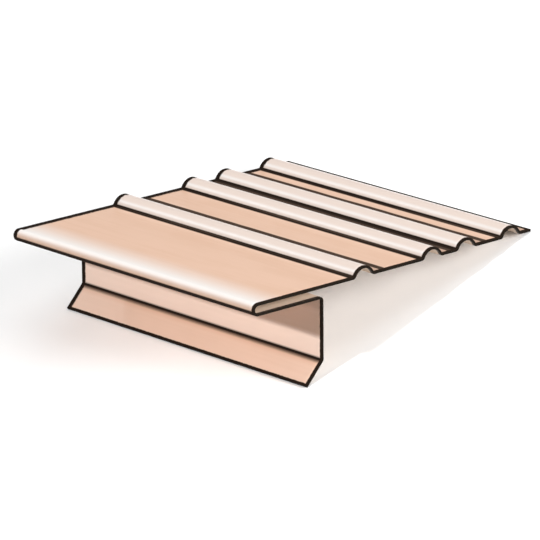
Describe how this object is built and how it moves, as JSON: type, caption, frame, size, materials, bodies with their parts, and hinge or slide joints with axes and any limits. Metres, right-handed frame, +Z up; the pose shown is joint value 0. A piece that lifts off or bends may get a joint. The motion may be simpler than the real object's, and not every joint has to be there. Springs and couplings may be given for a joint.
{
  "type": "drip edge",
  "caption": "Short length of roll-formed drip edge: ribbed roof flange, open hem at the nose, and a leg with a kicked-out foot, in one painted sheet",
  "frame": {"origin": "on the floor, under the centre of the part's box, as the piece lies unheld", "axes": "+X along the run of the edging, -Y towards the nose that faces out over the eaves, +Z up from the floor; the flange slopes down towards +Y by 17.5 degrees because the piece rests on its kick and its rear edge"},
  "size_m": [0.123, 0.1236, 0.0389],
  "materials": {
    "painted_sheet": "semi-gloss baked paint"
  },
  "bodies": {
    "root": {"drip_edge": "painted_sheet"}
  },
  "joints": []
}
